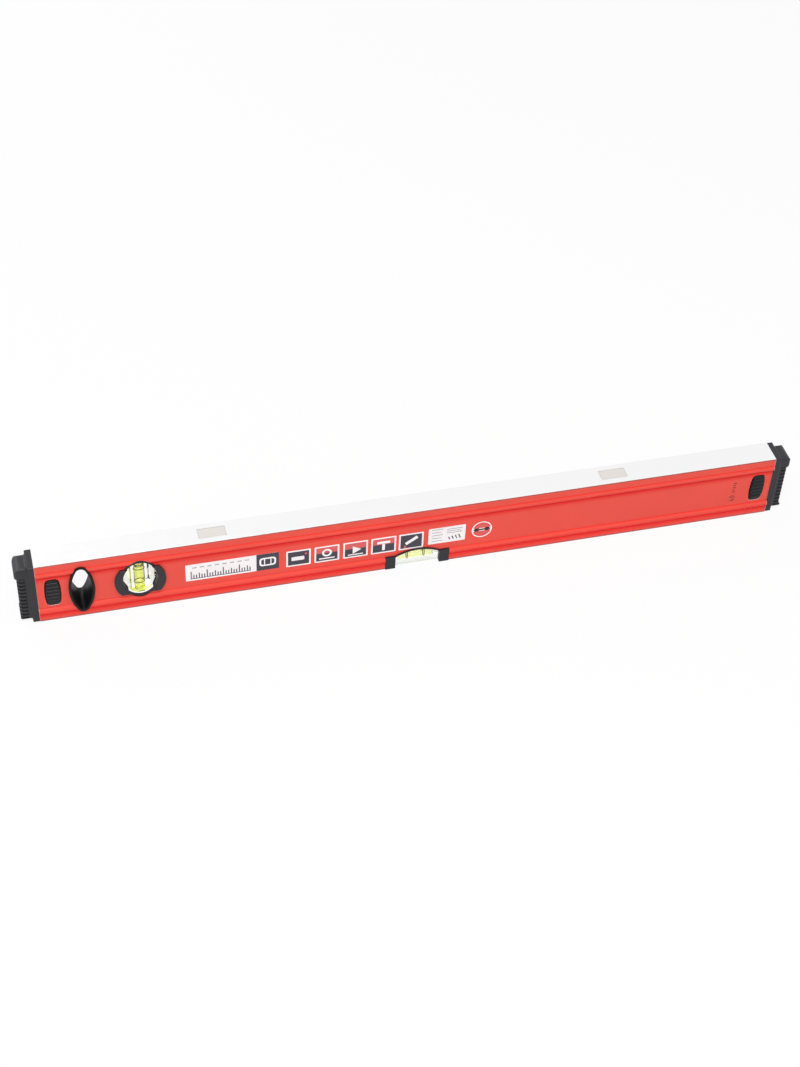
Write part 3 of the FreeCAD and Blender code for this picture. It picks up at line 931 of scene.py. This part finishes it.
@dataclass
class VialFluid:
    """The liquid of one vial as a full barrel that wets the bore all round."""

    name: str
    node: str
    axis: Axis
    finish: str
    wetting: float = 0.08
    swell: float = 0.1
    sides: int = 96
    stations: int = 7

    def build(self) -> bpy.types.Object:
        """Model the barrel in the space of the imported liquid.

        Returns:
            The liquid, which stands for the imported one.
        """
        low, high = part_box(self.node)
        centre = (low + high) / 2
        size = high - low
        length = size.x if self.axis is Axis.ALONG else size.z
        radius = size.y / 2 + self.wetting * MM
        grow = self.wetting * MM
        deselect()
        bpy.ops.mesh.primitive_cylinder_add(
            vertices=self.sides, radius=radius, depth=length + 2 * grow, location=(0, 0, 0)
        )
        liquid = bpy.context.object
        bpy.ops.object.mode_set(mode="EDIT")
        for step in range(1, self.stations):
            level = (step / self.stations - 0.5) * length
            bpy.ops.mesh.select_all(action="SELECT")
            bpy.ops.mesh.bisect(plane_co=(0, 0, level), plane_no=(0, 0, 1))
        bpy.ops.object.mode_set(mode="OBJECT")
        for vertex in liquid.data.vertices:
            share = 1 - self.swell * MM / radius * (vertex.co.z / (length / 2)) ** 2
            vertex.co.x *= share
            vertex.co.y *= share
        liquid.rotation_euler = self.axis.value
        liquid.location = centre
        set_down(liquid)
        bpy.ops.object.shade_smooth_by_angle(angle=math.radians(40))
        liquid.name = self.name
        liquid.data.name = self.name
        liquid.data.materials.append(bpy.data.materials[self.finish])
        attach(liquid, "level")
        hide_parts(self.node)
        LOG.info("filled %s", self.name)
        return liquid


@dataclass(frozen=True)
class BowSpring:
    """The strip spring behind one latch button, copied from the imported one."""

    corner: str

    def build(self, nodes: dict[str, bpy.types.Object]) -> bpy.types.Object:
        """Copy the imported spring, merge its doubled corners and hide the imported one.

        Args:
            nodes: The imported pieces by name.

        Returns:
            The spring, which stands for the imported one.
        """
        node = f"latch_spring_{self.corner}"
        source = nodes[node]
        spring = bpy.data.objects.new(f"bow_spring_{self.corner}", source.data.copy())
        bpy.context.scene.collection.objects.link(spring)
        spring.matrix_world = source.matrix_world
        deselect()
        spring.select_set(True)
        bpy.context.view_layer.objects.active = spring
        set_down(spring)
        bpy.ops.object.mode_set(mode="EDIT")
        bpy.ops.mesh.select_all(action="SELECT")
        bpy.ops.mesh.remove_doubles(threshold=MERGE * MM)
        bpy.ops.mesh.normals_make_consistent(inside=False)
        bpy.ops.object.mode_set(mode="OBJECT")
        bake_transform(spring)
        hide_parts(node)
        LOG.info("bent %s", spring.name)
        return spring


# ---------------------------------------------------------------------------------------------
# Studio
# ---------------------------------------------------------------------------------------------


@dataclass(frozen=True)
class Studio:
    """Pale floor, white surroundings, soft lamps and the camera of the photograph."""

    azimuth: float = -16.539
    elevation: float = 43.708
    roll: float = 3.155
    distance: float = 1481.488
    shift_right: float = -10.217
    shift_up: float = 16.794
    lens: float = 65.174
    floor_half: float = 6.0
    floor_gap: float = 0.02
    shown_white: float = 0.89
    surround: float = 0.40
    lamps: tuple[tuple[str, Point, float, float], ...] = (
        ("key_lamp", (-0.35, -0.75, 1.85), 0.8, 26.5),
        ("fill_lamp", (1.6, -0.9, 1.3), 0.9, 2.0),
        ("back_lamp", (-1.1, 1.4, 0.75), 0.9, 9.0),
    )

    def floor(self) -> None:
        """Pale floor that shows nearly white and keeps a soft shadow."""
        deselect()
        bpy.ops.mesh.primitive_plane_add(size=2 * self.floor_half, location=(0, 0, -self.floor_gap * MM))
        ground = set_down(bpy.context.object)
        ground.name = "floor"
        graph = Graph("floor_paper")
        fleck = graph.noise(4.0, 2.0)
        paper = graph.blend(fleck, (0.90, 0.90, 0.90), (0.92, 0.92, 0.92))
        matt = graph.node("BsdfPrincipled", inputs={"Base Color": paper, "Roughness": 0.9})
        glow = graph.node("Emission", inputs={"Color": (1.0, 1.0, 1.0), "Strength": 1.0})
        share = graph.seen() * self.shown_white
        mixed = graph.node("MixShader", inputs={0: share, 1: matt.outputs[0], 2: glow.outputs[0]})
        graph.node("OutputMaterial", inputs={"Surface": mixed.outputs[0]})
        ground.data.materials.append(graph.owner)

    def surroundings(self) -> None:
        """White backdrop for the camera, with a softer fill light."""
        graph = Graph("white_room", world=True)
        strength = self.surround + (1 - self.surround) * graph.seen()
        backdrop = graph.node("Background", inputs={"Color": (1.0, 1.0, 1.0), "Strength": strength})
        graph.node("OutputWorld", inputs={"Surface": backdrop.outputs[0]})
        bpy.context.scene.world = graph.owner

    def lamp(self, name: str, place: Point, size: float, watts: float) -> None:
        """Add a square lamp that looks at the level.

        Args:
            name: Name of the lamp.
            place: Its place in metres.
            size: Side in metres.
            watts: Power.
        """
        data = bpy.data.lights.new(name, "AREA")
        data.size = size
        data.energy = watts
        lamp = bpy.data.objects.new(name, data)
        bpy.context.scene.collection.objects.link(lamp)
        lamp.location = place
        lamp.rotation_euler = Vector(place).to_track_quat("Z", "Y").to_euler()

    def camera(self) -> None:
        """Place the camera where the photograph was taken."""
        az, el, roll = (math.radians(a) for a in (self.azimuth, self.elevation, self.roll))
        back = Vector((math.sin(az) * math.cos(el), -math.cos(az) * math.cos(el), math.sin(el)))
        side = Vector((math.cos(az), math.sin(az), 0.0))
        rise = back.cross(side)
        right = math.cos(roll) * side + math.sin(roll) * rise
        up = math.cos(roll) * rise - math.sin(roll) * side
        data = bpy.data.cameras.new("photo_camera")
        data.sensor_width = 36.0
        data.lens = self.lens
        data.clip_start, data.clip_end = 0.05, 60.0
        camera = bpy.data.objects.new("photo_camera", data)
        bpy.context.scene.collection.objects.link(camera)
        place = (self.shift_right * right + self.shift_up * up + self.distance * back) * MM
        turn = Matrix((right, up, back)).transposed()
        camera.matrix_world = Matrix.Translation(place) @ turn.to_4x4()
        bpy.context.scene.camera = camera

    def build(self) -> None:
        """Set up floor, surroundings, lamps and camera."""
        bpy.context.scene.view_settings.view_transform = "Standard"
        self.floor()
        self.surroundings()
        for name, place, size, watts in self.lamps:
            self.lamp(name, place, size, watts)
        self.camera()


def main() -> None:
    """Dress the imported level, add what it lacks and set up the studio."""
    logging.basicConfig(level=logging.INFO, format="%(message)s")
    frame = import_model()
    Wardrobe().dress(frame["nodes"])
    FrontPrint().build()
    VialFluid("plumb_liquid_full", "plumb_vial_liquid", Axis.UPRIGHT, "plumb_fluid").build()
    VialFluid("level_liquid_full", "level_vial_liquid", Axis.ALONG, "level_fluid").build()
    for corner in ("front_left", "front_right", "rear_left", "rear_right"):
        BowSpring(corner).build(frame["nodes"])
    Studio().build()


if __name__ == "__main__":
    main()
